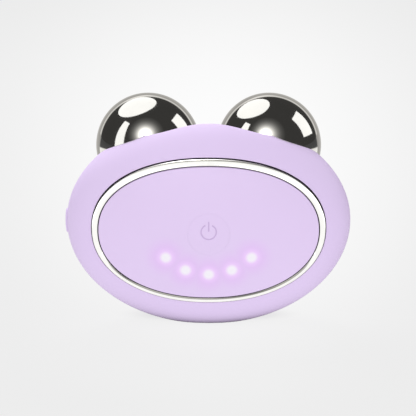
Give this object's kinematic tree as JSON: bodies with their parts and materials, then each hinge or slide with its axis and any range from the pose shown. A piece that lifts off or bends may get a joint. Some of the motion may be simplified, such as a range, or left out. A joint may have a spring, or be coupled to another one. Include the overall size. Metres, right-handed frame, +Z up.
{
  "type": "facial toning device",
  "caption": "Palm-sized oval skin toning device with two polished treatment spheres cradled in its top edge, a ringed face with a power button, glowing indicator dots and a side key.",
  "frame": {"origin": "middle of the charging socket's mouth, in the small standing flat at the bottom", "axes": "+Z up through the body, -Y out of the face, +X across the body to the viewer's right"},
  "size_m": [0.0949, 0.0488, 0.0751],
  "materials": {
    "lavender_silicone": "smooth satin silicone",
    "housing_plastic": "moulded",
    "motor_steel": "plain",
    "weight_metal": "sintered",
    "boot_rubber": "matte",
    "lead_orange": "wire sleeve",
    "lavender_plate": "smooth, softly glossy",
    "lavender_button": "smooth, softly glossy",
    "lavender_key": "smooth satin",
    "seam_rubber": "matte",
    "bright_trim": "bright polished",
    "sphere_metal": "mirror polished",
    "gasket_rubber": "matte",
    "carrier_plastic": "moulded",
    "plunger_plastic": "moulded",
    "switch_stem": "plain",
    "switch_plastic": "moulded",
    "light_guide": "clear moulded",
    "led_body": "clear resin",
    "circuit_board": "solder mask",
    "chip_plastic": "moulded",
    "coil_copper": "enamelled wire",
    "capacitor_body": "ceramic",
    "connector_plastic": "moulded",
    "cell_foil": "foil pouch",
    "foam_pad": "closed foam",
    "tray_plastic": "moulded",
    "steel_fastener": "plain",
    "contact_brass": "plain",
    "socket_plastic": "moulded",
    "lead_red": "wire sleeve",
    "lead_yellow": "wire sleeve",
    "lead_blue": "wire sleeve",
    "lead_green": "wire sleeve"
  },
  "bodies": {
    "housing": {"silicone_sleeve": "lavender_silicone", "front_housing": "housing_plastic", "rear_housing": "housing_plastic", "housing_seal": "seam_rubber", "trim_ring": "bright_trim", "face_plate": "lavender_plate", "face_carrier": "carrier_plastic", "power_switch": "switch_plastic", "light_guide": "light_guide", "indicator_leds": "led_body", "main_board": "circuit_board", "microcontroller": "chip_plastic", "boost_coil": "coil_copper", "output_capacitors": "capacitor_body", "motor_can": "motor_steel", "motor_boot": "boot_rubber", "battery_connector": "connector_plastic", "battery_cell": "cell_foil", "battery_pad": "foam_pad", "battery_tray": "tray_plastic", "left_sphere": "sphere_metal", "right_sphere": "sphere_metal", "left_sphere_gasket": "gasket_rubber", "right_sphere_gasket": "gasket_rubber", "sphere_studs": "steel_fastener", "sphere_nuts": "steel_fastener", "contact_tabs": "contact_brass", "charge_socket": "socket_plastic", "socket_seal": "seam_rubber", "side_switch": "switch_plastic", "side_board": "circuit_board", "housing_screws": "steel_fastener", "board_screws": "steel_fastener", "battery_leads": "lead_red", "sphere_leads": "lead_yellow", "charge_leads": "lead_blue", "side_leads": "lead_green", "motor_leads": "lead_orange"},
    "power_button": {"power_button": "lavender_button", "power_plunger": "plunger_plastic", "power_switch_stem": "switch_stem"},
    "side_key": {"side_key": "lavender_key", "side_plunger": "plunger_plastic", "side_switch_stem": "switch_stem"},
    "motor_rotor": {"motor_shaft": "steel_fastener", "eccentric_weight": "weight_metal"}
  },
  "joints": [
    {"name": "power_press", "type": "slide", "parent": "housing", "child": "power_button", "axis": [0, 1, 0], "range_m": [0, 0.00035], "stiffness_N_per_m": 1500},
    {"name": "side_press", "type": "slide", "parent": "housing", "child": "side_key", "axis": [1, 0, 0], "range_m": [0, 0.00035], "stiffness_N_per_m": 1500},
    {"name": "motor_spin", "type": "hinge", "parent": "housing", "child": "motor_rotor", "pos_m": [0, 0.0095, 0.0364], "axis": [1, 0, 0], "continuous": true}
  ]
}
